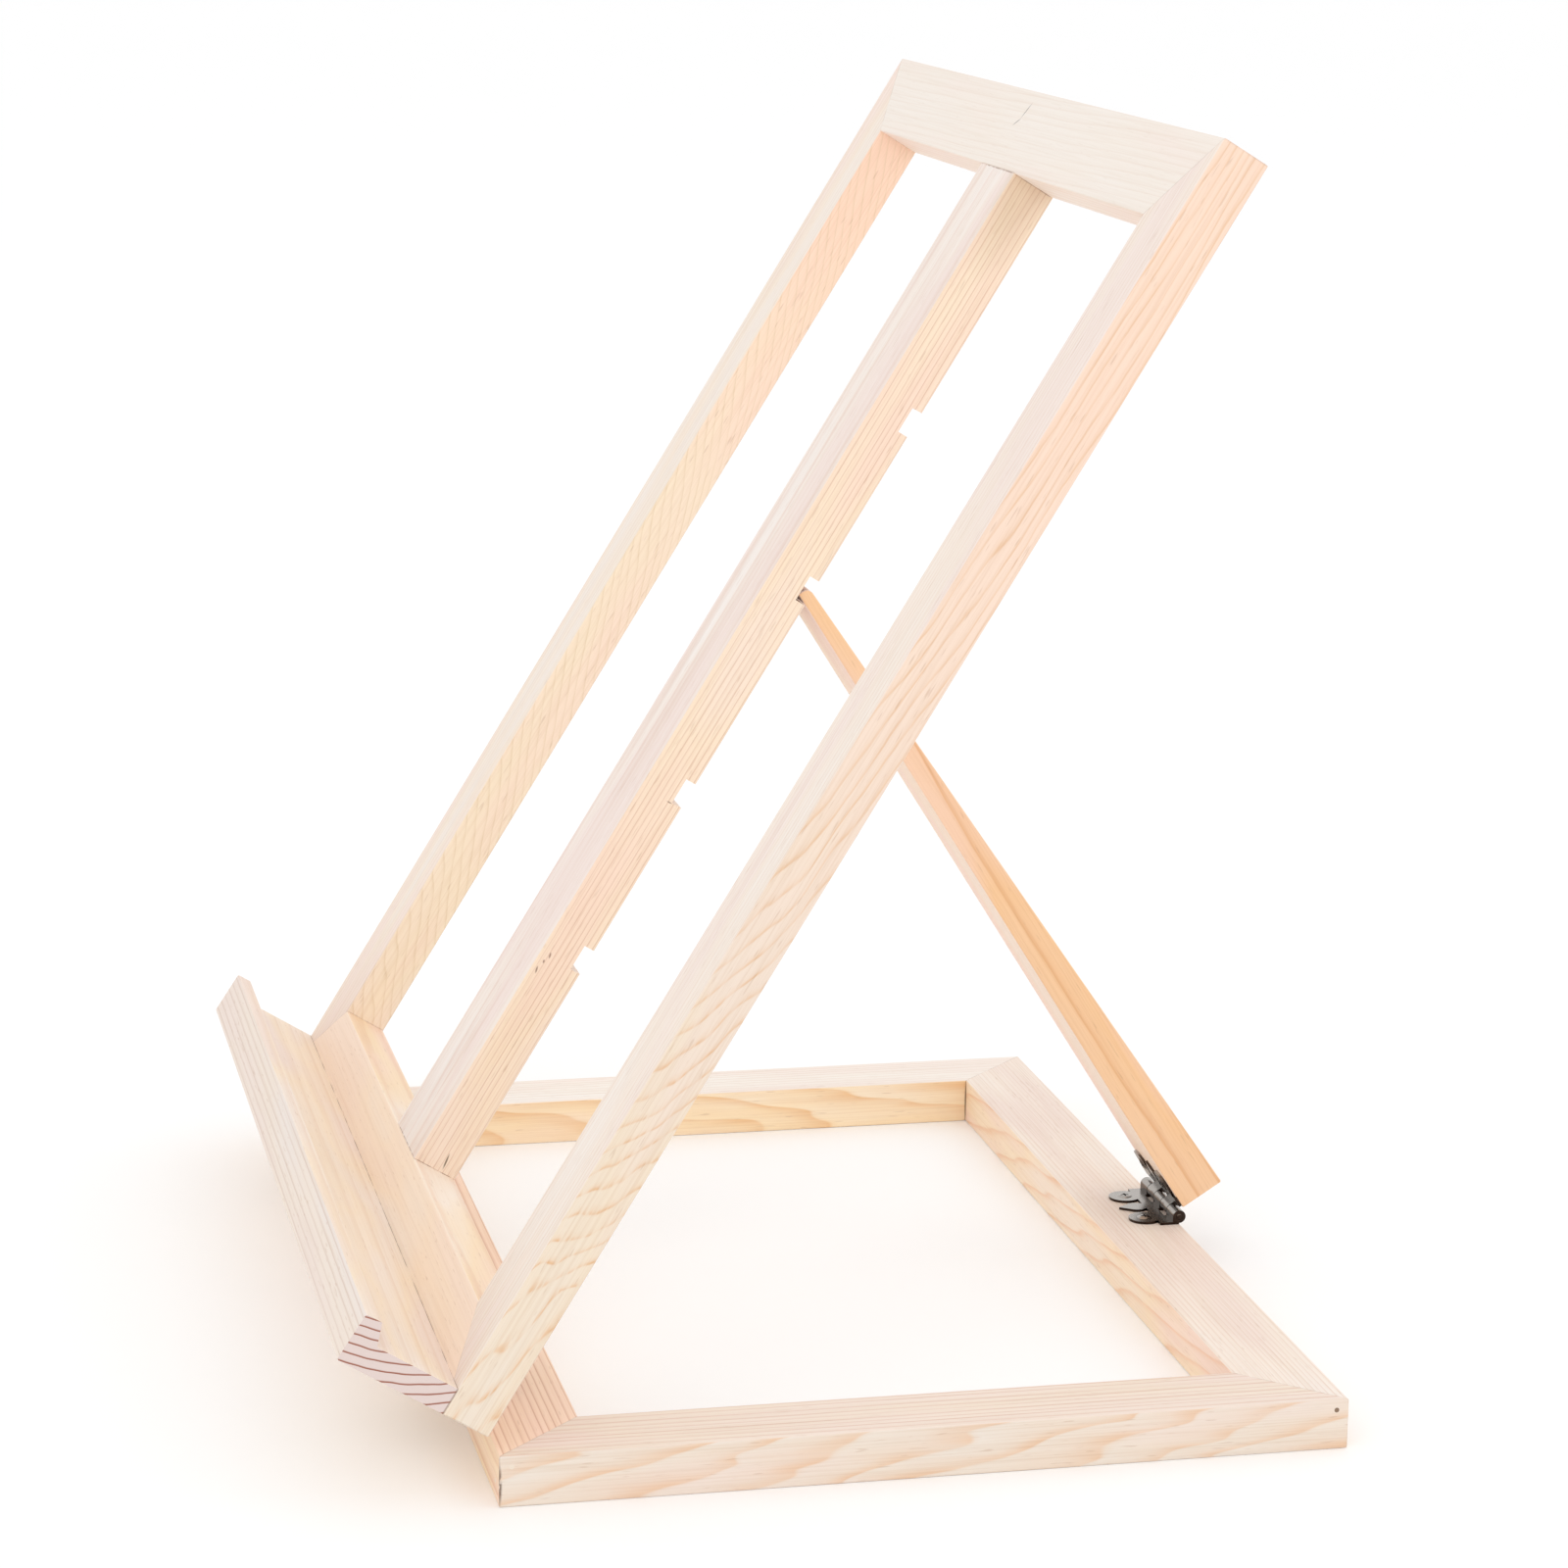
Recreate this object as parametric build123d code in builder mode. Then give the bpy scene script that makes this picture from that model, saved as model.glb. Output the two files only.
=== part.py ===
# Folding pine book stand: base frame, hinged back panel with ledge, wedge strut.
# Millimetres. X is the reader's right, Y runs from the reader to the back, Z is up.
# The stand is drawn open, with the strut's tip in the second notch from the top.
from build123d import *
from math import sin, cos, radians
import os

os.makedirs("parts", exist_ok=True)

# ---- stock ----
stand_w = 294.0        # overall width of the base and of the panel
stock_w = 22.0         # face width of every frame member
eased = 0.5            # rounding on the sanded long edges

# ---- base frame ----
base_d = 204.0
base_t = 12.5
front_y = -89.1        # front face of the base, so that the whole stand is centred on Y
rear_y = front_y + base_d
brad_r = 0.4
brad_head_r = 0.6
brad_len = 17.0

# ---- back panel ----
tilt = 58.6            # lean of the panel, from the table
panel_len = 335.5
panel_t = 12.2
centre_w = 31.0
notch_h = 7.0
notch_depth = 2.85
notch_bottoms = (84.0, 133.8, 194.0, 243.6)   # measured up the panel from its lower end
dowel_r = 2.0

# ---- ledge ----
ledge_d = 28.1
seat_t = 6.7
lip_h = 12.3
lip_top_t = 4.6
lip_root_t = 6.6

# ---- strut ----
strut_angle = 57.5     # from the table, leaning towards the reader
strut_len = 199.9
strut_w = 29.4
strut_t = 12.5         # at the hinge
strut_tip_t = 3.2
tip_round = 2.0

# ---- hinges (all three are the same pattern) ----
hinge_w = 29.5
barrel_r = 1.75
bore_r = 0.85
pin_r = 0.80
leaf_t = 0.7
leaf_reach = 12.2
pin_off = 2.1          # pin axis to the wood face under a leaf
knuckles = 5
knuckle_gap = 0.15
screw_x = 9.2
screw_w = 7.9
panel_hinge_x = 95.0
panel_pin_y = front_y - 1.6
strut_pin_y = rear_y - 0.4
pin_z = base_t + pin_off
panel_end = 1.86       # pin axis to the panel's lower end, along the panel
strut_end = 1.5        # pin axis to the strut's lower end, along the strut

half = stand_w / 2

# ---- working planes ----
ct, st = cos(radians(tilt)), sin(radians(tilt))
cs, ss = cos(radians(strut_angle)), sin(radians(strut_angle))
# Panel plane: origin at the back lower edge, y up the panel, z out of its front face.
corner_y = panel_pin_y + panel_end * ct - pin_off * st
corner_z = pin_z + panel_end * st + pin_off * ct
panel_plane = Plane(origin=(0, corner_y, corner_z), x_dir=(1, 0, 0), z_dir=(0, -st, ct))
# Panel side plane: x out of the front face, y up the panel, z along -X.
panel_side = Plane(origin=(0, corner_y, corner_z), x_dir=(0, -st, ct), z_dir=(-1, 0, 0))
# Strut side plane: x up the strut, y through its thickness to the rear, z along +-X.
foot_y = strut_pin_y - strut_end * cs + pin_off * ss
foot_z = pin_z + strut_end * ss + pin_off * cs
strut_side = Plane(origin=(0, foot_y, foot_z), x_dir=(0, -cs, ss), z_dir=(-1, 0, 0))


def save(piece, name):
    piece.part.label = name
    export_step(piece.part, "parts/" + name + ".step")


# ---- screws: origin at the middle of the seat's outer face, z out of the wood ----
def screw_group(places, head_r, shank_r, length, dome):
    with BuildPart() as screws:
        for place in places:
            side = Plane(origin=place.origin, x_dir=place.x_dir, z_dir=-place.y_dir)
            with BuildSketch(side):
                with BuildLine():
                    if dome > 0:
                        ThreePointArc((0, dome), (head_r * 0.55, dome * 0.72), (head_r, 0))
                    else:
                        Line((0, 0), (head_r, 0))
                    Line((head_r, 0), (shank_r, shank_r - head_r))
                    Line((shank_r, shank_r - head_r), (shank_r, -length + shank_r))
                    Line((shank_r, -length + shank_r), (0, -length))
                    Line((0, -length), (0, dome))
                make_face()
            revolve(axis=Axis(place.origin, place.z_dir))
    return screws


def cross_recess(screws, places, top, depth, span, width):
    with BuildPart() as cut:
        for place in places:
            with BuildSketch(place.offset(top - depth)):
                Rectangle(span, width)
                Rectangle(width, span)
            extrude(amount=depth + 0.5)
    with BuildPart() as finished:
        add(screws.part)
        add(cut.part, mode=Mode.SUBTRACT)
    return finished


# ---- one hinge leaf ----
# Leaf plane: origin on the pin axis, x along the pin, y along the leaf, z away from the wood.
def hinge_leaf(leaf_plane, own, screws):
    pitch = hinge_w / knuckles
    with BuildPart() as leaf:
        with BuildSketch(leaf_plane.offset(-pin_off)):
            with Locations((0, 2.6)):
                Rectangle(hinge_w, 5.2)
            with Locations((-screw_x, screw_w), (screw_x, screw_w)):
                Circle(4.25)
            with Locations((0, 7.4)):
                Circle(2.9)
            with BuildLine():
                Polyline((-2.5, 8.9), (0, leaf_reach), (2.5, 8.9), (-2.5, 8.9))
            make_face()
            for k in range(knuckles):
                if k in own:
                    continue
                with Locations((-hinge_w / 2 + (k + 0.5) * pitch, 0)):
                    Rectangle(pitch + 2 * knuckle_gap, 4.6, mode=Mode.SUBTRACT)
        extrude(amount=leaf_t)
        for k in own:
            x0 = -hinge_w / 2 + k * pitch + (knuckle_gap if k > 0 else 0)
            x1 = -hinge_w / 2 + (k + 1) * pitch - (knuckle_gap if k < knuckles - 1 else 0)
            end_on = Plane(
                origin=leaf_plane.origin + leaf_plane.x_dir * x0,
                x_dir=leaf_plane.y_dir,
                z_dir=leaf_plane.x_dir,
            )
            with BuildSketch(end_on):
                Circle(barrel_r)
                with BuildLine():
                    Polyline((0, 0), (barrel_r, 0), (barrel_r, -pin_off), (0, -pin_off), (0, 0))
                make_face()
                Circle(bore_r, mode=Mode.SUBTRACT)
            extrude(amount=x1 - x0)
        add(screws.part, mode=Mode.SUBTRACT)
    return leaf


def hinge_pin(centre_x, pin_y):
    with BuildPart() as pin:
        with BuildSketch(Plane(origin=(centre_x - hinge_w / 2 - 0.25, pin_y, pin_z), z_dir=(1, 0, 0))):
            Circle(pin_r)
        extrude(amount=hinge_w + 0.5)
        chamfer(pin.edges().filter_by(GeomType.CIRCLE), 0.2)
    return pin


def screw_places(leaf_plane):
    face = leaf_plane.offset(-pin_off + leaf_t)
    places = []
    for sx in (-screw_x, screw_x):
        centre = face.origin + face.x_dir * sx + face.y_dir * screw_w
        places.append(Plane(origin=centre, x_dir=face.x_dir, z_dir=face.z_dir))
    return places


fixed_own = (0, 2, 4)
moving_own = (1, 3)


def full_hinge(name, mover, fixed_plane, moving_plane, centre_x, pin_y):
    pieces = {}
    for side, leaf_plane, own in (("base", fixed_plane, fixed_own), (mover, moving_plane, moving_own)):
        places = screw_places(leaf_plane)
        blanks = screw_group(places, 2.05, 1.1, 8.6, 0.45)
        pieces[side + "_leaf"] = hinge_leaf(leaf_plane, own, blanks)
        pieces[side + "_blanks"] = blanks
        pieces[side + "_screws"] = cross_recess(blanks, places, 0.45, 0.35, 2.2, 0.5)
    pieces["pin"] = hinge_pin(centre_x, pin_y)
    for part_name in ("base_leaf", mover + "_leaf", "pin", "base_screws", mover + "_screws"):
        save(pieces[part_name], name + "_" + part_name)
    return pieces


# ---- strut hinge: on the rear rail's top, and on the strut's face towards the reader ----
strut_pin = (0, strut_pin_y, pin_z)
strut_hinge = full_hinge(
    "strut_hinge",
    "strut",
    Plane(origin=strut_pin, x_dir=(-1, 0, 0), z_dir=(0, 0, 1)),
    Plane(origin=strut_pin, x_dir=(1, 0, 0), z_dir=(0, -ss, -cs)),
    0,
    strut_pin_y,
)

# ---- two panel hinges: on the front rail's top, and on the panel's back ----
panel_hinges = []
for hinge_side, hinge_x in (("left", -panel_hinge_x), ("right", panel_hinge_x)):
    centre = (hinge_x, panel_pin_y, pin_z)
    panel_hinges.append(
        full_hinge(
            hinge_side + "_hinge",
            "panel",
            Plane(origin=centre, x_dir=(1, 0, 0), z_dir=(0, 0, 1)),
            Plane(origin=centre, x_dir=(-1, 0, 0), z_dir=(0, st, -ct)),
            hinge_x,
            panel_pin_y,
        )
    )

# ---- brads through the base mitres, one from each outer face at every corner ----
with BuildPart() as base_corner_brads:
    for sx in (-1, 1):
        for corner, sy in ((front_y, -1), (rear_y, 1)):
            side_in = Plane(origin=(sx * half, corner - sy * 2.9, 9.8), z_dir=(-sx, 0, 0))
            end_in = Plane(origin=(sx * (half - 6.0), corner, 4.4), z_dir=(0, -sy, 0))
            for into in (side_in, end_in):
                with BuildSketch(into):
                    Circle(brad_head_r)
                extrude(amount=0.7)
                with BuildSketch(into.offset(0.7)):
                    Circle(brad_r)
                extrude(amount=brad_len - 0.7)
save(base_corner_brads, "base_corner_brads")

# ---- base rails, mitred ----
rail_outlines = {
    "base_front_rail": [
        (-half, front_y), (half, front_y),
        (half - stock_w, front_y + stock_w), (-half + stock_w, front_y + stock_w),
    ],
    "base_rear_rail": [
        (half, rear_y), (-half, rear_y),
        (-half + stock_w, rear_y - stock_w), (half - stock_w, rear_y - stock_w),
    ],
    "base_left_rail": [
        (-half, rear_y), (-half, front_y),
        (-half + stock_w, front_y + stock_w), (-half + stock_w, rear_y - stock_w),
    ],
    "base_right_rail": [
        (half, front_y), (half, rear_y),
        (half - stock_w, rear_y - stock_w), (half - stock_w, front_y + stock_w),
    ],
}
for name, outline in rail_outlines.items():
    with BuildPart() as rail:
        with BuildSketch(Plane.XY):
            Polygon(*outline, align=None)
        extrude(amount=base_t)
        along = Axis.X if name in ("base_front_rail", "base_rear_rail") else Axis.Y
        fillet(rail.edges().filter_by(along), eased)
        add(base_corner_brads.part, mode=Mode.SUBTRACT)
        if name == "base_rear_rail":
            add(strut_hinge["base_blanks"].part, mode=Mode.SUBTRACT)
        if name == "base_front_rail":
            for hinge in panel_hinges:
                add(hinge["base_blanks"].part, mode=Mode.SUBTRACT)
    save(rail, name)

# ---- dowels inside the panel: across each mitre, and two at each end of the centre rail ----
with BuildPart() as panel_corner_dowels:
    for sx in (-1, 1):
        for s, up in ((stock_w / 2, 1), (panel_len - stock_w / 2, -1)):
            mid = panel_plane.from_local_coords(Vector(sx * (half - stock_w / 2), s, panel_t / 2))
            across = panel_plane.x_dir * sx + panel_plane.y_dir * up
            with BuildSketch(Plane(origin=mid - across.normalized() * 6.5, z_dir=across)):
                Circle(dowel_r)
            extrude(amount=13.0)
save(panel_corner_dowels, "panel_corner_dowels")

with BuildPart() as centre_rail_dowels:
    for x in (-8.0, 8.0):
        for s in (stock_w, panel_len - stock_w):
            low = panel_plane.from_local_coords(Vector(x, s - 10.0, panel_t / 2))
            with BuildSketch(Plane(origin=low, z_dir=panel_plane.y_dir)):
                Circle(dowel_r)
            extrude(amount=20.0)
save(centre_rail_dowels, "centre_rail_dowels")

# ---- four screws from the panel's back into the ledge's edge ----
ledge_screw_places = []
for x in (-125.0, -42.0, 42.0, 125.0):
    seat = panel_plane.from_local_coords(Vector(x, seat_t / 2, 0))
    ledge_screw_places.append(Plane(origin=seat, x_dir=(-1, 0, 0), z_dir=(0, st, -ct)))
ledge_screw_blanks = screw_group(ledge_screw_places, 2.3, 1.1, 26.0, 0)
ledge_screws = cross_recess(ledge_screw_blanks, ledge_screw_places, 0, 0.6, 2.4, 0.55)
save(ledge_screws, "ledge_screws")

# ---- panel members, mitred at the corners ----
inner = half - stock_w
panel_outlines = {
    "panel_left_stile": [
        (-half, 0), (-inner, stock_w), (-inner, panel_len - stock_w), (-half, panel_len),
    ],
    "panel_right_stile": [
        (half, 0), (half, panel_len), (inner, panel_len - stock_w), (inner, stock_w),
    ],
    "panel_top_rail": [
        (-half, panel_len), (-inner, panel_len - stock_w), (inner, panel_len - stock_w), (half, panel_len),
    ],
    "panel_bottom_rail": [
        (-half, 0), (half, 0), (inner, stock_w), (-inner, stock_w),
    ],
}
for name, outline in panel_outlines.items():
    with BuildPart() as member:
        with BuildSketch(panel_plane):
            Polygon(*outline, align=None)
        extrude(amount=panel_t)
        if name in ("panel_top_rail", "panel_bottom_rail"):
            long_edges = member.edges().filter_by(Axis.X)
        else:
            long_edges = member.edges().filter_by(Axis((0, 0, 0), panel_plane.y_dir))
        fillet(long_edges, eased)
        add(panel_corner_dowels.part, mode=Mode.SUBTRACT)
        if name in ("panel_top_rail", "panel_bottom_rail"):
            add(centre_rail_dowels.part, mode=Mode.SUBTRACT)
        if name == "panel_bottom_rail":
            add(ledge_screw_blanks.part, mode=Mode.SUBTRACT)
            for hinge in panel_hinges:
                add(hinge["panel_blanks"].part, mode=Mode.SUBTRACT)
    save(member, name)

# ---- notched centre rail ----
# The rail is drawn as its core and the five lands that its four notches leave on its back,
# solids that touch, so that each notch stays open in collision too.
with BuildPart() as rail_core:
    with BuildSketch(panel_plane.offset(notch_depth)):
        with Locations((0, panel_len / 2)):
            Rectangle(centre_w, panel_len - 2 * stock_w)
    extrude(amount=panel_t - notch_depth)
    long_edges = rail_core.edges().filter_by(Axis((0, 0, 0), panel_plane.y_dir))
    fillet(long_edges.sort_by(Axis((0, 0, 0), panel_plane.z_dir))[-2:], 0.4)
    add(centre_rail_dowels.part, mode=Mode.SUBTRACT)

land_ends = [stock_w]
for low in notch_bottoms:
    land_ends += [low, low + notch_h]
land_ends.append(panel_len - stock_w)
with BuildPart() as rail_lands:
    with BuildSketch(panel_plane):
        for low, high in zip(land_ends[::2], land_ends[1::2]):
            with Locations((0, (low + high) / 2)):
                Rectangle(centre_w, high - low)
    extrude(amount=notch_depth)
    long_edges = rail_lands.edges().filter_by(Axis((0, 0, 0), panel_plane.y_dir))
    lands = len(notch_bottoms) + 1
    fillet(long_edges.sort_by(Axis((0, 0, 0), panel_plane.z_dir))[: 2 * lands], 0.4)
rail_solids = rail_core.part.solids() + rail_lands.part.solids()
centre_rail = Compound(rail_solids, label="panel_centre_rail")
export_step(centre_rail, "parts/panel_centre_rail.step")

# ---- ledge: one L-section moulding as wide as the panel ----
lip_out = panel_t + ledge_d
with BuildPart() as book_ledge:
    with BuildSketch(panel_side.offset(-half)):
        with BuildLine():
            Polyline(
                (panel_t, 0),
                (lip_out, 0),
                (lip_out - 0.4, lip_h),
                (lip_out - lip_top_t, lip_h),
                (lip_out - lip_root_t, seat_t),
                (panel_t, seat_t),
                (panel_t, 0),
            )
        make_face()
    extrude(amount=stand_w)
    long_edges = book_ledge.edges().filter_by(Axis.X)
    nearest = long_edges.sort_by(Axis((0, 0, 0), panel_plane.z_dir))
    fillet(nearest[2:], eased)
    add(ledge_screw_blanks.part, mode=Mode.SUBTRACT)
save(book_ledge, "book_ledge")

# ---- strut: a wedge, thin at the tip ----
with BuildPart() as prop_strut:
    with BuildSketch(strut_side.offset(-strut_w / 2)):
        with BuildLine():
            Polyline(
                (0, 0),
                (strut_len, 0),
                (strut_len, strut_tip_t),
                (0, strut_t),
                (0, 0),
            )
        make_face()
    extrude(amount=strut_w)
    across = prop_strut.edges().filter_by(Axis.X)
    tip_edges = across.sort_by(Axis((0, 0, 0), strut_side.x_dir))[-2:]
    by_depth = tip_edges.sort_by(Axis((0, 0, 0), strut_side.y_dir))
    fillet(by_depth[-1:], tip_round)
    across = prop_strut.edges().filter_by(Axis.X)
    lowest = across.sort_by(Axis((0, 0, 0), strut_side.x_dir))[:2]
    fillet(lowest, eased)
    along = prop_strut.edges().filter_by(Axis((0, 0, 0), strut_side.x_dir))
    fillet(along, 0.4)
    add(strut_hinge["strut_blanks"].part, mode=Mode.SUBTRACT)
save(prop_strut, "prop_strut")
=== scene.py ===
import bpy
import bmesh
from math import radians, sin, cos
from mathutils import Matrix, Quaternion, Vector


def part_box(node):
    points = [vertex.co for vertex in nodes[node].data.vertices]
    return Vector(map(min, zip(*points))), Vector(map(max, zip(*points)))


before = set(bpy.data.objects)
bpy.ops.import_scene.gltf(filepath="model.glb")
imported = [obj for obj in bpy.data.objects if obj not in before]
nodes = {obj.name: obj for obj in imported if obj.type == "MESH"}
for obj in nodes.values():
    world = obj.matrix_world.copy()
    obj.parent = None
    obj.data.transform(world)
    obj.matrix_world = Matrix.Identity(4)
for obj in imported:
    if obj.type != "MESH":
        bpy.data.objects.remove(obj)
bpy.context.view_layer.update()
print("book stand: packed frame loaded,", len(nodes), "nodes")

mm = 0.001
standOpen = {"panelLean": 58.6, "strutLean": 57.5}  # degrees from the table, as the stand is left open
panelLean, strutLean = radians(standOpen["panelLean"]), radians(standOpen["strutLean"])

# the ways that the battens run and face
acrossStand = Vector((1, 0, 0))
awayFromReader = Vector((0, 1, 0))
upPanel = Vector((0, cos(panelLean), sin(panelLean)))
outOfPanel = Vector((0, -sin(panelLean), cos(panelLean)))
upStrut = Vector((0, -cos(strutLean), sin(strutLean)))


def hexColour(code, alpha=1.0):
    # sRGB hex to the linear values the shaders want
    parts = [int(code[i:i + 2], 16) / 255 for i in (1, 3, 5)]
    return tuple(c / 12.92 if c <= 0.04045 else ((c + 0.055) / 1.055) ** 2.4 for c in parts) + (alpha,)


def newMaterial(name):
    material = bpy.data.materials.new(name)
    material.use_nodes = True
    material.node_tree.nodes.clear()
    return material, material.node_tree


def addNode(tree, kind, settings=None, links=None):
    # one node: settings go to its properties or, by socket name or number, to its inputs
    node = tree.nodes.new(kind)
    for key, value in (settings or {}).items():
        if isinstance(key, str) and hasattr(node, key):
            setattr(node, key, value)
        else:
            node.inputs[key].default_value = value
    for key, source in (links or {}).items():
        tree.links.new(source.outputs[0] if hasattr(source, "outputs") else source, node.inputs[key])
    return node


def fillRamp(node, stops):
    ramp = node.color_ramp
    while len(ramp.elements) > 1:
        ramp.elements.remove(ramp.elements[-1])
    for i, (at, colour) in enumerate(stops):
        element = ramp.elements[0] if i == 0 else ramp.elements.new(at)
        element.position = at
        element.color = hexColour(colour) if isinstance(colour, str) else (colour, colour, colour, 1)
    return node


# pine, sawn and sanded, no finish: pale, matt, with a faint silky line of fibres
pineFigure = {  # features per mm along a batten, across it and out of it
    "trunk": 0.008,  # the pith's slow sideways wander
    "climate": (0.002, 0.16, 0.16),  # spells of wide and narrow years
    "patches": (0.012, 0.33, 0.33),  # stretches with darker late wood
    "clouds": (0.009, 0.05, 0.05),  # broad changes of ground colour
    "strokes": (0.6, 0.9, 0.9),  # the first is divided by a stroke's length
    "fibres": (0.02, 1.9, 1.9),  # 0.5 mm wide; real ones are a tenth of that, too fine to show
    "ducts": (0.2, 2.3, 2.3),  # resin ducts, 0.4 mm wide and 5 mm long
}
waveSpacing = 0.3142  # between the rings of a wave texture of scale 1
ringEdge = 0.95  # where in a ring the late wood ends


def growthRings(tree, local, cut, seed):
    # rings round a pith line beside the batten: flames on a flat-sawn face, straight lines on a
    # quartered one, arcs on a cut end. Returns the wood's colour, its late wood, and the bare rings
    wander = cut["wander"]  # mm that the pith strays on its way up the trunk
    trunk = addNode(tree, "ShaderNodeMapping",
                    {"Scale": (cut["bends"], pineFigure["trunk"], pineFigure["trunk"]),
                     "Location": (seed * 7.3, seed, 0)}, {"Vector": local})
    stray = addNode(tree, "ShaderNodeTexNoise", {"Scale": 1.0, "Detail": 2.0, "Roughness": 0.4},
                    {"Vector": trunk})
    bent = addNode(tree, "ShaderNodeVectorMath", {"operation": "MULTIPLY_ADD", 1: (0, wander, wander)},
                   {0: stray.outputs["Color"], 2: local})
    lengthwise = addNode(tree, "ShaderNodeSeparateXYZ", None, {0: local})
    if "sweep" in cut:  # the trunk curves away towards one end: from mm, to mm, shift across in mm
        sweepFrom, sweepTo, sweepShift = cut["sweep"]
        bow = addNode(tree, "ShaderNodeMapRange", {"From Min": sweepFrom, "From Max": sweepTo},
                      {"Value": lengthwise})
        curve = addNode(tree, "ShaderNodeMath", {"operation": "POWER", 1: 2.0}, {0: bow})
        bent = addNode(tree, "ShaderNodeVectorMath", {"operation": "MULTIPLY_ADD", 1: (0, sweepShift, 0)},
                       {0: curve, 2: bent})
    pith = addNode(tree, "ShaderNodeMapping",
                   {"vector_type": "TEXTURE", "Rotation": (0, *[radians(a) for a in cut["lean"]]),
                    "Location": (0, cut["pith"][0] + wander / 2, cut["pith"][1] + wander / 2)},
                   {"Vector": bent})
    climate = addNode(tree, "ShaderNodeMapping",
                      {"Scale": pineFigure["climate"], "Location": (seed, 0, seed * 3.1)}, {"Vector": pith})
    goodYears = addNode(tree, "ShaderNodeTexNoise", {"Scale": 1.0, "Detail": 1.0}, {"Vector": climate})
    spread = addNode(tree, "ShaderNodeMath", {"operation": "MULTIPLY", 1: cut["years"]},
                     {0: goodYears})  # radians: ring widths differ
    ring = addNode(tree, "ShaderNodeTexWave",
                   {"wave_type": "RINGS", "rings_direction": "X", "wave_profile": "SAW",
                    "Scale": waveSpacing / cut["ring"], "Distortion": cut["ripple"], "Detail": 2.0,
                    "Detail Scale": 0.9}, {"Vector": pith, "Phase Offset": spread})
    band = cut["band"]  # the late wood's share of a ring; wide where the saw runs along the ring
    lateWood = fillRamp(addNode(tree, "ShaderNodeValToRGB", None, {0: ring}),
                        [(0.0, 0.2), (0.06, 0.0), (ringEdge - 1.6 * band, 0.04),
                         (ringEdge - 0.7 * band, 0.3), (ringEdge - 0.04, 0.92), (ringEdge, 1.0), (1.0, 0.2)])
    patchy = addNode(tree, "ShaderNodeMapping",
                     {"Scale": pineFigure["patches"], "Location": (0, seed * 5.0, 9)}, {"Vector": pith})
    patches = addNode(tree, "ShaderNodeTexNoise", {"Scale": 1.0, "Detail": 1.0}, {"Vector": patchy})
    strength = addNode(tree, "ShaderNodeMapRange",
                       {"From Min": 0.3, "From Max": 0.65, "To Min": cut["contrast"] / 2,
                        "To Max": cut["contrast"]}, {"Value": patches})
    late = addNode(tree, "ShaderNodeMath", {"operation": "MULTIPLY"}, {0: lateWood, 1: strength})
    if "dashes" in cut:  # fibres run out of the face at the bow, and a line breaks into strokes so long
        perLength, perWidth, perDepth = pineFigure["strokes"]
        strokeRun = addNode(tree, "ShaderNodeMapping",
                            {"Scale": (perLength / cut["dashes"], perWidth, perDepth),
                             "Location": (seed, 0, 4)}, {"Vector": local})
        strokes = addNode(tree, "ShaderNodeTexNoise", {"Scale": 1.0, "Detail": 2.0}, {"Vector": strokeRun})
        stroke = addNode(tree, "ShaderNodeMapRange",
                         {"From Min": 0.4, "From Max": 0.56, "To Min": 0.22, "To Max": 1.25},
                         {"Value": strokes})
        torn = addNode(tree, "ShaderNodeMix", {2: 0.85}, {0: bow, 3: stroke})
        late = addNode(tree, "ShaderNodeMath", {"operation": "MULTIPLY"}, {0: late, 1: torn})
    broad = addNode(tree, "ShaderNodeMapping",
                    {"Scale": pineFigure["clouds"], "Location": (seed * 2.3, 0, 15)}, {"Vector": bent})
    clouds = addNode(tree, "ShaderNodeTexNoise", {"Scale": 1.0, "Detail": 2.0}, {"Vector": broad})
    ground = fillRamp(addNode(tree, "ShaderNodeValToRGB", None, {0: clouds}),
                      [(0.38, cut["pale"]), (0.5, cut["warm"]), (0.62, cut["blush"])])
    if "tint" in cut:  # the board turns pinker towards one end: from mm, to mm, colour
        tintFrom, tintTo, tintColour = cut["tint"]
        reach = addNode(tree, "ShaderNodeMapRange",
                        {"From Min": tintFrom, "From Max": tintTo, "To Max": 0.85}, {"Value": lengthwise})
        ground = addNode(tree, "ShaderNodeMix", {"data_type": "RGBA", 7: hexColour(tintColour)},
                         {0: reach, 6: ground}).outputs[2]
    wood = addNode(tree, "ShaderNodeMix", {"data_type": "RGBA", 7: hexColour(cut["late"])},
                   {0: late, 6: ground})
    return wood.outputs[2], late, lateWood


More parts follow.
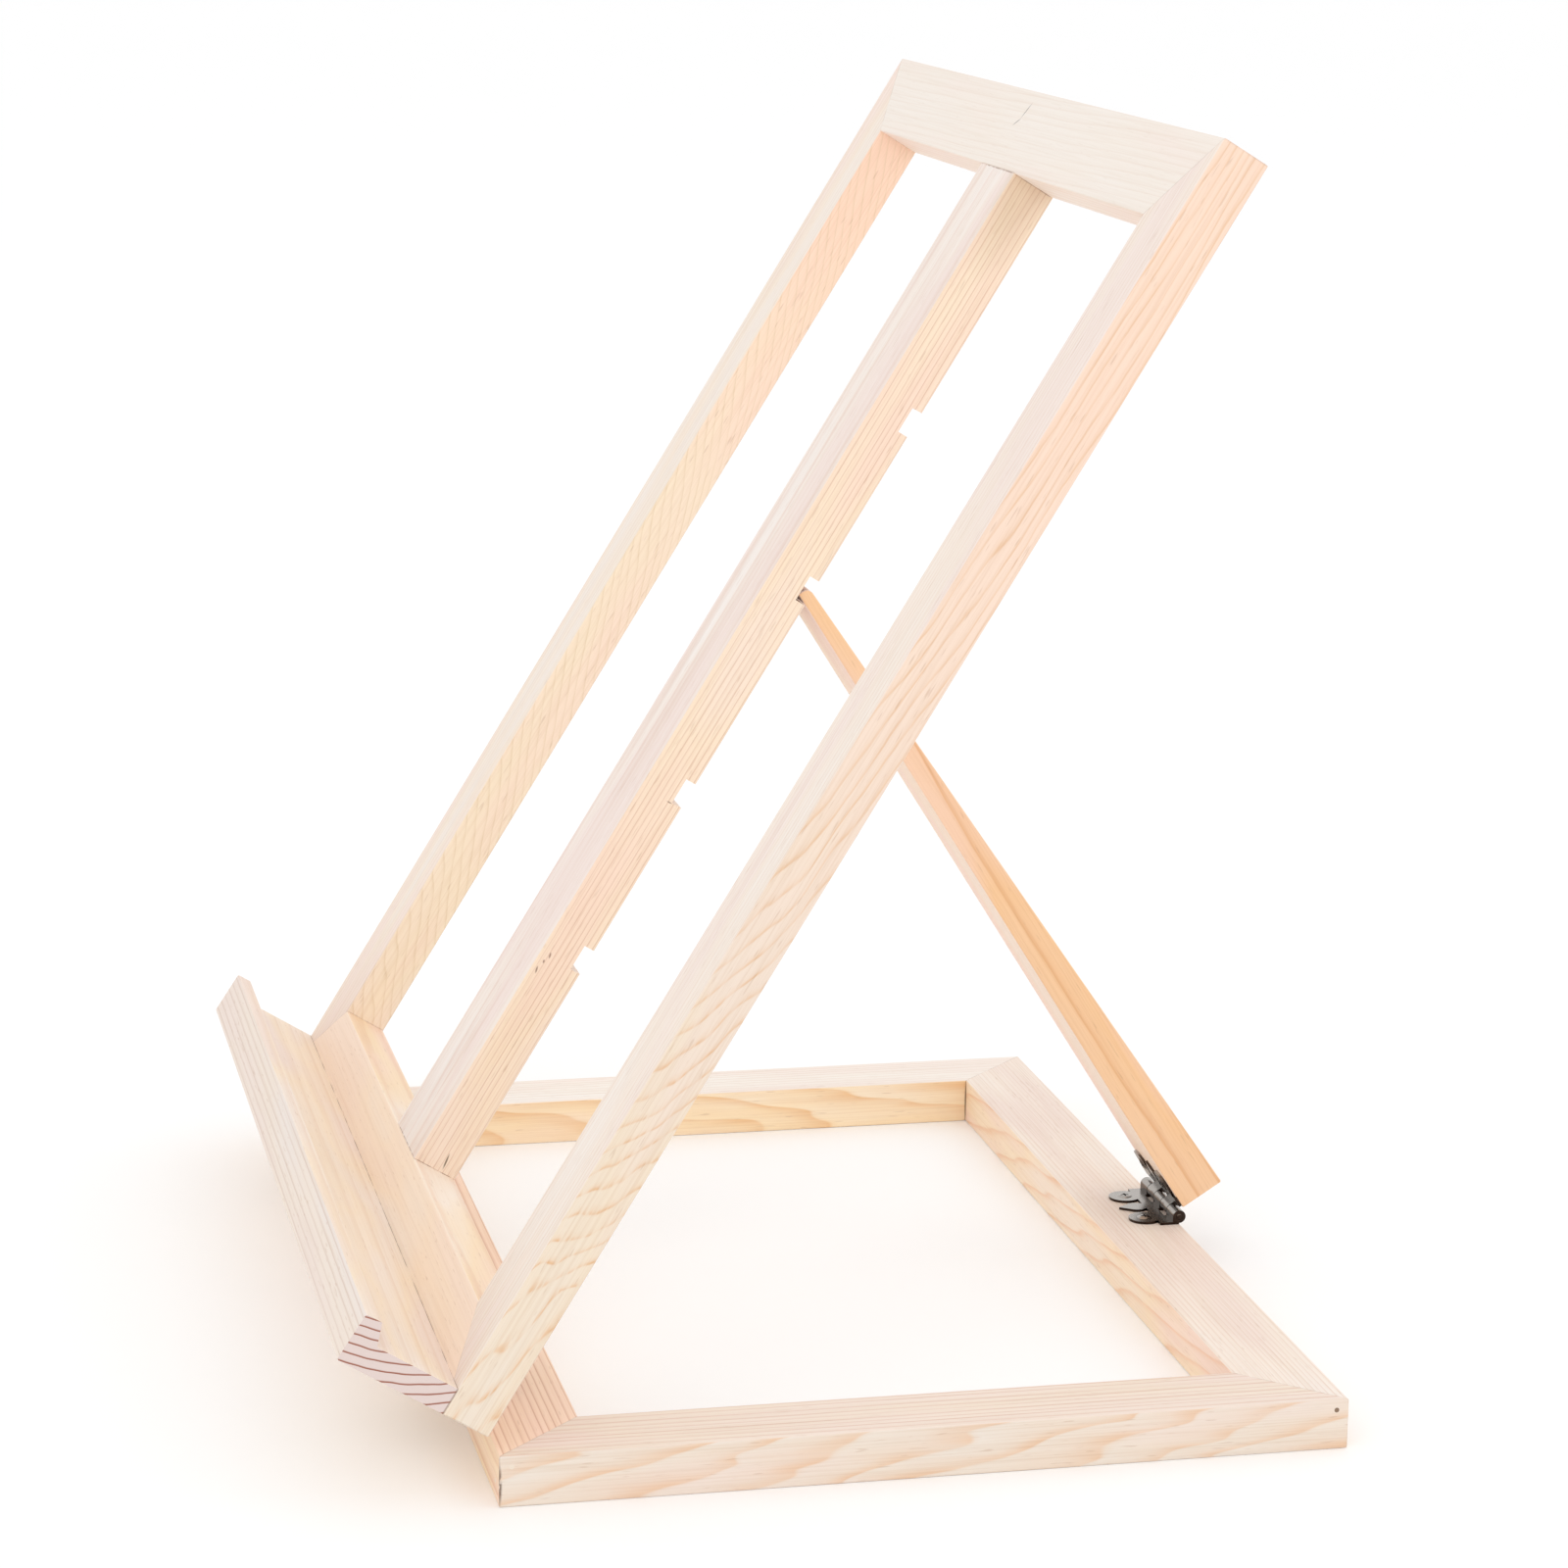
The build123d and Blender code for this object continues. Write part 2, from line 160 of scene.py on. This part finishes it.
def pineMaterial(name, board):
    material, tree = newMaterial(name)
    place = addNode(tree, "ShaderNodeTexCoord")
    along, across = board["along"], board["across"]
    turn = Matrix((along, across, along.cross(across))).transposed().to_euler()
    local = addNode(tree, "ShaderNodeMapping",
                    {"vector_type": "TEXTURE", "Location": board["centre"], "Rotation": turn,
                     "Scale": (mm, mm, mm)}, {"Vector": place.outputs["Object"]})  # the batten's own mm
    seed = board["seed"]
    wood, late, rings = growthRings(tree, local, board["face"], seed)
    # the narrow sides are sawn at another angle to the rings
    sideWood, sideLate, _ = growthRings(tree, local, board["edge"], seed + 3)
    # besides the figure, this mask swaps the broad faces' painted sheen (their whitened palette) for the
    # sides' warmer wood
    facing = addNode(tree, "ShaderNodeVectorMath", {"operation": "DOT_PRODUCT", 1: across},
                     {0: place.outputs["Normal"]})
    either = addNode(tree, "ShaderNodeMath", {"operation": "ABSOLUTE"}, {0: facing.outputs["Value"]})
    side = addNode(tree, "ShaderNodeMapRange", {"From Min": 0.6, "From Max": 0.8}, {"Value": either})
    wood = addNode(tree, "ShaderNodeMix", {"data_type": "RGBA"}, {0: side, 6: wood, 7: sideWood}).outputs[2]
    late = addNode(tree, "ShaderNodeMix", None, {0: side, 2: late, 3: sideLate})
    fibreRun = addNode(tree, "ShaderNodeMapping",
                       {"Scale": pineFigure["fibres"], "Location": (seed, seed * 11, 0)}, {"Vector": local})
    fibre = addNode(tree, "ShaderNodeTexNoise", {"Scale": 1.0, "Detail": 3.0, "Roughness": 0.65},
                    {"Vector": fibreRun})
    silk = fillRamp(addNode(tree, "ShaderNodeValToRGB", None, {0: fibre}),
                    [(0.3, "#F1E9E0"), (0.55, "#FFFFFF")])
    wood = addNode(tree, "ShaderNodeMix",
                   {"data_type": "RGBA", "blend_type": "MULTIPLY", 0: board["silk"]},
                   {6: wood, 7: silk}).outputs[2]
    ductRun = addNode(tree, "ShaderNodeMapping",
                      {"Scale": pineFigure["ducts"], "Location": (seed * 3, 0, seed)}, {"Vector": local})
    ductSpots = addNode(tree, "ShaderNodeTexNoise", {"Scale": 1.0, "Detail": 0.0}, {"Vector": ductRun})
    ducts = addNode(tree, "ShaderNodeMapRange",
                    {"From Min": 0.73, "From Max": 0.82, "To Max": board["ducts"]}, {"Value": ductSpots})
    wood = addNode(tree, "ShaderNodeMix", {"data_type": "RGBA", 7: hexColour("#B58A66")},
                   {0: ducts, 6: wood}).outputs[2]
    # a cut end is pinkish grey with the late wood in dark lines
    endFacing = addNode(tree, "ShaderNodeVectorMath", {"operation": "DOT_PRODUCT", 1: along},
                        {0: place.outputs["Normal"]})
    eitherEnd = addNode(tree, "ShaderNodeMath", {"operation": "ABSOLUTE"}, {0: endFacing.outputs["Value"]})
    endCut = addNode(tree, "ShaderNodeMapRange", {"From Min": 0.85, "From Max": 0.95}, {"Value": eitherEnd})
    endLine = fillRamp(addNode(tree, "ShaderNodeValToRGB", None, {0: rings}),
                       [(0.0, board["endPale"]), (0.35, board["endPale"]), (0.8, board["endLate"])])
    wood = addNode(tree, "ShaderNodeMix", {"data_type": "RGBA"}, {0: endCut, 6: wood, 7: endLine}).outputs[2]
    # joint lines and small scars, each a thin dark lens in the batten's own mm
    for mark in board["marks"]:
        lens = addNode(tree, "ShaderNodeMapping",
                       {"vector_type": "TEXTURE", "Location": mark["at"], "Scale": mark["size"],
                        "Rotation": [radians(a) for a in mark.get("turn", (0, 0, 0))]}, {"Vector": local})
        inside = addNode(tree, "ShaderNodeVectorMath", {"operation": "LENGTH"}, {0: lens})
        dark = addNode(tree, "ShaderNodeMapRange",
                       {"From Min": 1.0, "From Max": 0.45, "To Max": mark["depth"]},
                       {"Value": inside.outputs["Value"]})
        if "breaks" in mark:  # open here, closed there
            broken = addNode(tree, "ShaderNodeTexNoise", {"Scale": mark["breaks"], "Detail": 2.0},
                             {"Vector": local})
            gaps = addNode(tree, "ShaderNodeMapRange", {"From Min": 0.36, "From Max": 0.55},
                           {"Value": broken})
            dark = addNode(tree, "ShaderNodeMath", {"operation": "MULTIPLY"}, {0: dark, 1: gaps})
        tone = hexColour(mark.get("tone", "#7A5238"))
        wood = addNode(tree, "ShaderNodeMix", {"data_type": "RGBA", 7: tone}, {0: dark, 6: wood}).outputs[2]
    height = addNode(tree, "ShaderNodeMath", {"operation": "MULTIPLY_ADD", 1: 0.4}, {0: late, 2: fibre})
    relief = addNode(tree, "ShaderNodeBump", {"Strength": 0.15, "Distance": 0.1 * mm}, {"Height": height})
    sanded = addNode(tree, "ShaderNodeMapRange", {"To Min": 0.55, "To Max": 0.42},
                     {"Value": late})  # late wood burnishes
    shader = addNode(tree, "ShaderNodeBsdfPrincipled", {"IOR": 1.5, "Specular IOR Level": 0.5},
                     {"Base Color": wood, "Roughness": sanded, "Normal": relief})
    addNode(tree, "ShaderNodeOutputMaterial", None, {"Surface": shader})
    return material


def middleOf(name):
    low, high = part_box(name)
    return (Vector(low) + Vector(high)) / 2


def dress(name, material):
    nodes[name].data.materials.clear()
    nodes[name].data.materials.append(material)


# broad faces are the palest: their palettes are whitened as a painted sheen, standing in for the light they
# reflect; the narrow sides show the wood's own warmer colour
sheenPaledFace = {"pale": "#F0E5DB", "warm": "#F1E2D2", "blush": "#F1DFD4", "late": "#D9BDA6", "ring": 2.1,
            "ripple": 0.25, "wander": 3.0, "bends": 0.006, "lean": (0, 0), "contrast": 0.5, "band": 0.24,
            "years": 9.0}
warmSide = {"pale": "#F5E0CA", "warm": "#F8DEBC", "blush": "#F8DAC6", "late": "#E2B08A", "ring": 2.0,
            "ripple": 0.35, "wander": 3.0, "bends": 0.008, "lean": (0, 0), "contrast": 0.7, "band": 0.24,
            "years": 9.0}
usualBoard = {"endPale": "#DFCDC7", "endLate": "#9A5A42", "silk": 0.6, "ducts": 0.26, "outer": 0}

# half: half the length in mm; outer: which side of a mitred batten is the long one; silk and ducts:
# how much fibre and how many resin dashes show. In a cut, pith: mm across and out from the middle;
# lean: degrees; ring: mm; wander: mm; years: how uneven the rings are; band: the late wood's share
battens = {
    "base_right_rail": {
        "along": awayFromReader, "across": acrossStand, "seed": 1.3, "half": 102, "outer": 1,
        "face": {"pith": (-60, 4), "late": "#D3A58A", "ring": 2.3, "pale": "#F1E1D5", "wander": 1.5,
                 "contrast": 0.75},
        "edge": {"pith": (-70, -34), "lean": (0, -8), "pale": "#EBE1D6", "warm": "#ECDFD1",
                 "blush": "#EEDED3", "late": "#E8BC94", "ring": 3.2, "wander": 8.0, "bends": 0.012,
                 "ripple": 0.3, "contrast": 0.75, "band": 0.52}},
    "base_left_rail": {
        "along": awayFromReader, "across": acrossStand, "seed": 2.1, "half": 102, "outer": -1,
        "face": {"pith": (-50, 8), "pale": "#F9F3EC", "warm": "#F8F0E7", "blush": "#F7EBE2"},
        "edge": {"pith": (64, 30), "lean": (0, 8), "pale": "#FCECD4", "warm": "#FEE8C4",
                 "blush": "#FCE5D0", "late": "#EFC08A", "ring": 4.2, "wander": 9.0, "bends": 0.01,
                 "band": 0.56, "contrast": 0.85, "ripple": 0.2}},
    "base_front_rail": {
        "along": acrossStand, "across": awayFromReader, "seed": 3.7, "half": 147, "outer": -1,
        # painted light: this face palette is lightened to offset the shade the panel casts on it
        "face": {"pith": (70, 6), "pale": "#FFE6D2", "warm": "#FFE3CB", "blush": "#FFE0CE",
                 "late": "#D09A79", "ring": 1.9, "wander": 1.2, "contrast": 0.8},
        "edge": {"pith": (60, 20)}},
    "base_rear_rail": {
        "along": acrossStand, "across": awayFromReader, "seed": 4.9, "half": 147, "outer": 1,
        "face": {"pith": (-75, -8), "pale": "#F5EAE1", "warm": "#F5E7DA", "late": "#DAB79F",
                 "ring": 1.35, "wander": 1.5, "contrast": 0.55, "band": 0.2},
        "edge": {"pith": (-60, -26), "lean": (0, 5), "pale": "#F9E8D6", "warm": "#FBE5C8",
                 "blush": "#FAE0D0", "late": "#EDB98E", "ring": 2.6, "wander": 5.0}},
    "panel_left_stile": {
        "along": upPanel, "across": acrossStand, "seed": 5.2, "half": 167.75, "outer": -1,
        "face": {"pith": (-52, 30), "contrast": 0.35},
        "edge": {"pith": (-58, -44), "lean": (9, -8), "pale": "#F8E6D2", "warm": "#F8E6CC",
                 "blush": "#F9E1CD", "late": "#DEC39A", "ring": 1.15, "wander": 3.0, "bends": 0.006,
                 "ripple": 0.3, "contrast": 0.5, "band": 0.2, "tint": (30, 120, "#FDD8C0")}},
    "panel_right_stile": {
        "along": upPanel, "across": acrossStand, "seed": 6.6, "half": 167.75, "outer": 1,
        "face": {"pith": (48, 20), "pale": "#F0E6DD", "warm": "#F0E3D7", "blush": "#EFE0D8",
                 "late": "#DDBCA5", "ring": 1.7, "wander": 1.5, "contrast": 0.45},
        "edge": {"pith": (-62, -42), "lean": (6, 6.5), "pale": "#ECDECD", "warm": "#EEDDC7",
                 "blush": "#EEDCCC", "late": "#E3B484", "ring": 1.5, "wander": 2.5, "bends": 0.008,
                 "ripple": 0.5, "contrast": 0.74, "dashes": 4.0, "sweep": (20, -130, 14),
                 "tint": (-50, 100, "#FADBC6")}},
    "panel_top_rail": {
        "along": acrossStand, "across": upPanel, "seed": 7.4, "half": 147, "outer": 1,
        "ducts": 0.07, "silk": 0.3,
        "face": {"pith": (50, -45), "lean": (0.5, 0.6), "contrast": 0.22, "pale": "#EFE6DD",
                 "warm": "#EFE5DB", "blush": "#F0E3DA", "ring": 1.5},
        "edge": {"pith": (10, -60), "pale": "#F0E4DA", "warm": "#F1E1D4", "blush": "#F1DED2",
                 "contrast": 0.35}},
    "panel_bottom_rail": {
        "along": acrossStand, "across": upPanel, "seed": 8.8, "half": 147, "outer": -1, "silk": 0.35,
        # painted light: this face palette is lightened to offset the shade of the panel and ledge
        "face": {"pith": (-50, 60), "pale": "#F8E9D9", "warm": "#FAE6D0", "blush": "#F9E4D2",
                 "contrast": 0.18},
        "edge": {"pith": (-50, 15), "pale": "#F8E9D9", "contrast": 0.4}},
    "panel_centre_rail": {
        "along": upPanel, "across": acrossStand, "seed": 9.5, "half": 145.75,
        "endPale": "#F5E6D8", "endLate": "#DDB99C",  # only the notch walls show
        "face": {"pith": (8, 75), "pale": "#F1E8E2", "warm": "#F1E5DC", "blush": "#EFDFD8", "ring": 2.2,
                 "late": "#DDBFAF", "contrast": 0.6},
        "edge": {"pith": (-8, 85), "pale": "#F8E4D2", "warm": "#F9E4CB", "blush": "#F9DECA",
                 "late": "#C58E69", "ring": 1.5, "wander": 1.2, "contrast": 0.58, "band": 0.15}},
    "book_ledge": {
        "along": acrossStand, "across": outOfPanel, "seed": 10.3, "half": 147, "silk": 0.4,
        # painted light: this face palette is lightened to offset the shade of the panel
        "face": {"pith": (19, -49), "ring": 2.3, "wander": 1.2, "bends": 0.002, "ripple": 0.0,
                 "pale": "#F6E9DE", "warm": "#F9E7D0", "blush": "#F4E3D8", "late": "#DDB795",
                 "contrast": 0.32, "band": 0.3, "years": 2.0},
        "edge": {"pith": (19, -49), "ring": 2.0, "wander": 1.2, "bends": 0.002, "pale": "#E9DED6",
                 "warm": "#EBDDD0", "blush": "#EADAD0", "late": "#C5A793", "contrast": 0.6,
                 "years": 2.0}},
    "prop_strut": {
        "along": upStrut, "across": acrossStand, "seed": 11.9, "half": 100,
        # painted light: the strut's face palette is lightened to offset the shade its downward face lies in
        "face": {"pith": (-60, 30), "pale": "#FCEBDD", "warm": "#FDE8D4", "blush": "#FDE4D8",
                 "contrast": 0.3},
        "edge": {"pith": (-55, 30), "pale": "#F5CCA4", "warm": "#F6C99A", "blush": "#F6CEB0",
                 "late": "#E0A46D", "ring": 2.6}},
}

railHalf = battens["panel_centre_rail"]["half"]
resinSpecks = ((-88.0, -4.4, 1.2), (-85.3, -3.9, 0.6), (-83.2, -3.3, 1.0))  # along, out, half length
# in each batten's own mm: along, across, out; size is half the mark's
scars = {
    "panel_top_rail": [
        {"at": (-4.6, 5.4, 6.1), "size": (3.0, 0.34, 1.0), "turn": (0, 0, 66), "depth": 0.8,
         "tone": "#5F5048"},
        {"at": (-7.0, 1.9, 6.1), "size": (2.6, 0.3, 1.0), "turn": (0, 0, 32), "depth": 0.7,
         "tone": "#5F5048"}],
    "panel_centre_rail": [
        *[{"at": (x, 15.5, out), "size": (length, 0.6, 0.3), "turn": (0, 14, 0), "depth": 0.7,
           "tone": "#6A3E28"} for x, out, length in resinSpecks],
        {"at": (-142.5, 15.5, 1.6), "size": (2.6, 1.0, 0.3), "turn": (0, 8, 0), "depth": 0.85,
         "tone": "#5E4A30"},  # a split by the lower end
        {"at": (-34.2, 15.5, 2.6), "size": (0.22, 1.0, 0.9), "depth": 0.7,
         "tone": "#6A4A34"},  # the saw's overcut at a notch
        *[{"at": (end * railHalf, 0, 0), "size": (0.3, 60, 60), "depth": 0.6, "breaks": 0.4}
          for end in (-1, 1)],  # where the ends meet the rails
        # painted shade: a soft grey-brown darkening of the rail's top end, standing in for the top rail's
        # shadow
        {"at": (150, 15.5, -1), "size": (34, 4, 9), "depth": 0.3, "tone": "#B9986F"}],  # greyer near the top
    "base_right_rail": [
        {"at": (-102, 11, 0.8), "size": (0.75, 0.75, 5.6), "depth": 0.9, "tone": "#5F4430",
         "breaks": 0.7}],
    "base_front_rail": [
        {"at": (147, -11, -0.8), "size": (0.6, 0.6, 5.6), "depth": 0.8, "tone": "#5F4430",
         "breaks": 0.7}],
    "base_left_rail": [
        {"at": (80, 11, 0), "size": (0.5, 0.5, 8), "depth": 0.7, "tone": "#5F4430"}],
    "base_rear_rail": [
        {"at": (-125, -11, 0), "size": (0.5, 0.5, 8), "depth": 0.7, "tone": "#5F4430"}],
    "book_ledge": [
        {"at": (0, -15.1, 0), "size": (400, 0.38, 60), "depth": 0.6, "tone": "#7E5F48",
         "breaks": 0.12}],  # thin dark line where it meets the panel
}
mitre = {"middle": 11, "width": 0.25, "reach": 60, "depth": 0.22, "breaks": 0.15}  # mm; a hairline joint

for name, cut in battens.items():
    board = {**usualBoard, **cut}
    board["centre"] = middleOf(name)
    board["face"] = {**sheenPaledFace, **cut["face"]}
    board["edge"] = {**warmSide, **cut["edge"]}
    board["marks"] = list(scars.get(name, []))
    if board["outer"]:
        for end in (-1, 1):
            board["marks"].append({"at": (end * (board["half"] - mitre["middle"]), 0, 0),
                                   "size": (mitre["width"], mitre["reach"], mitre["reach"]),
                                   "turn": (0, 0, -45 * end * board["outer"]),
                                   "depth": mitre["depth"], "breaks": mitre["breaks"]})
    dress(name, pineMaterial("sanded pine " + name.replace("_", " "), board))
print("pine: battens, ledge and strut dressed")


# antique bronze: plated steel sheet, darkened; faces turned up get a painted highlight of light grey, and a
# mottle paints uneven reflection
# tones run from the brown black metal up to the painted highlight's light grey
bronzeLook = {"patch": 3.8, "upward": (-0.25, -0.3, 0.92), "gloss": (0.16, 0.3),  # patch in mm
              "tones": [(0.15, "#372C26"), (0.6, "#4C4038"), (0.85, "#75685D"), (1.0, "#ABA59F")]}


def bronzeMaterial(name, look):
    material, tree = newMaterial(name)
    place = addNode(tree, "ShaderNodeTexCoord")
    # painted highlight: flats and crests that face up are painted grey, as reflections of the light above;
    # the rest stays brown black
    facing = addNode(tree, "ShaderNodeVectorMath", {"operation": "DOT_PRODUCT", 1: look["upward"]},
                     {0: place.outputs["Normal"]})
    # the mottle varies the painted reflection in patches
    mottle = addNode(tree, "ShaderNodeTexNoise", {"Scale": 1 / (look["patch"] * mm), "Detail": 3.0},
                     {"Vector": place.outputs["Object"]})
    paintedShine = addNode(tree, "ShaderNodeMath", {"operation": "MULTIPLY_ADD", 1: 0.5},
                   {0: mottle, 2: facing.outputs["Value"]})
    tone = fillRamp(addNode(tree, "ShaderNodeValToRGB", None, {0: paintedShine}), look["tones"])
    gloss = addNode(tree, "ShaderNodeMapRange", {"To Min": look["gloss"][0], "To Max": look["gloss"][1]},
                    {"Value": mottle})
    shader = addNode(tree, "ShaderNodeBsdfPrincipled", {"Metallic": 1.0},
                     {"Base Color": tone, "Roughness": gloss})
    addNode(tree, "ShaderNodeOutputMaterial", None, {"Surface": shader})
    return material


bronze = bronzeMaterial("antique bronze plate", bronzeLook)
for name in nodes:
    if "hinge" in name:
        dress(name, bronze)

speck = 1.4  # mm
bradLook = {"colour": "#8A705A", "roughness": 0.6, "metallic": 0.0,  # dark pinpricks
            "puttyInFront": "#ECDDCC"}  # the front corners' heads are filled, so they hardly show
screwLook = {"colour": "#B9B8B4", "roughness": 0.35, "metallic": 1.0}  # bright cross heads
dowelLook = {"colour": "#D8B48A", "roughness": 0.6, "metallic": 0.0}  # pinker than the pine


def smallPartMaterial(name, look):
    material, tree = newMaterial(name)
    place = addNode(tree, "ShaderNodeTexCoord")
    speckle = addNode(tree, "ShaderNodeTexNoise", {"Scale": 1 / (speck * mm), "Detail": 3.0},
                      {"Vector": place.outputs["Object"]})
    shade = addNode(tree, "ShaderNodeMapRange", {"To Min": 0.8, "To Max": 1.15}, {"Value": speckle})
    tone = addNode(tree, "ShaderNodeHueSaturation", {"Color": hexColour(look["colour"])}, {"Value": shade})
    if "puttyInFront" in look:
        spot = addNode(tree, "ShaderNodeSeparateXYZ", None, {0: place.outputs["Object"]})
        atFront = addNode(tree, "ShaderNodeMath", {"operation": "LESS_THAN", 1: 0.0}, {0: spot.outputs["Y"]})
        tone = addNode(tree, "ShaderNodeMix", {"data_type": "RGBA", 7: hexColour(look["puttyInFront"])},
                       {0: atFront, 6: tone}).outputs[2]
    shader = addNode(tree, "ShaderNodeBsdfPrincipled",
                     {"Metallic": look["metallic"], "Roughness": look["roughness"]}, {"Base Color": tone})
    addNode(tree, "ShaderNodeOutputMaterial", None, {"Surface": shader})
    return material


dress("base_corner_brads", smallPartMaterial("dulled brad wire", bradLook))
dress("ledge_screws", smallPartMaterial("zinc plated screw", screwLook))
beech = smallPartMaterial("turned beech dowel", dowelLook)
for name in ("panel_corner_dowels", "centre_rail_dowels"):
    dress(name, beech)
print("metal and dowels dressed")

floorLook = {"halfSize": 60.0, "colour": "#FFFFFF", "roughness": 0.8, "specular": 0.1}  # metres
floorMesh = bpy.data.meshes.new("studioFloor")
floorShape = bmesh.new()
bmesh.ops.create_grid(floorShape, x_segments=1, y_segments=1, size=floorLook["halfSize"])
floorShape.to_mesh(floorMesh)
floorShape.free()
studioFloor = bpy.data.objects.new("studioFloor", floorMesh)
bpy.context.scene.collection.objects.link(studioFloor)
floorPaint, tree = newMaterial("white studio floor")
floorShader = addNode(tree, "ShaderNodeBsdfPrincipled",
                      {"Base Color": hexColour(floorLook["colour"]), "Roughness": floorLook["roughness"],
                       "Specular IOR Level": floorLook["specular"]})
addNode(tree, "ShaderNodeOutputMaterial", None, {"Surface": floorShader})
floorMesh.materials.append(floorPaint)

scene = bpy.context.scene
world = bpy.data.worlds.new("softbox room")
scene.world = world
world.use_nodes = True
room = world.node_tree.nodes["Background"]
room.inputs["Color"].default_value = hexColour("#FFFFFF")
room.inputs["Strength"].default_value = 1.0
scene.view_settings.view_transform = "Standard"

softboxes = {  # places and sizes in metres
    "keyLight": {"at": (1.6, -1.2, 1.9), "size": 1.4, "watts": 6},
    "fillLight": {"at": (0.6, 1.8, 1.4), "size": 1.6, "watts": 2},
}
lightsAim = Vector((0, 0, 0.15))
for name, box in softboxes.items():
    lamp = bpy.data.lights.new(name, "AREA")
    lamp.size = box["size"]
    lamp.energy = box["watts"]
    holder = bpy.data.objects.new(name, lamp)
    holder.location = box["at"]
    holder.rotation_euler = (lightsAim - Vector(box["at"])).to_track_quat("-Z", "Y").to_euler()
    scene.collection.objects.link(holder)

cameraSetup = {"at": (1.0759, -0.2338, 0.3820), "aim": (-0.0024, 0.0088, 0.1327), "roll": 0.8,
               "lens": 100.45, "sensor": 36, "clip": (0.05, 200)}  # metres, degrees, mm
cameraData = bpy.data.cameras.new("standCamera")
cameraData.lens = cameraSetup["lens"]
cameraData.sensor_width = cameraSetup["sensor"]
cameraData.clip_start, cameraData.clip_end = cameraSetup["clip"]
standCamera = bpy.data.objects.new("standCamera", cameraData)
standCamera.location = cameraSetup["at"]
standCamera.rotation_mode = "QUATERNION"
aim = Vector(cameraSetup["aim"]) - Vector(cameraSetup["at"])
roll = Quaternion((0, 0, 1), radians(cameraSetup["roll"]))
standCamera.rotation_quaternion = aim.to_track_quat("-Z", "Y") @ roll
scene.collection.objects.link(standCamera)
scene.camera = standCamera
print("floor, lights and camera set")
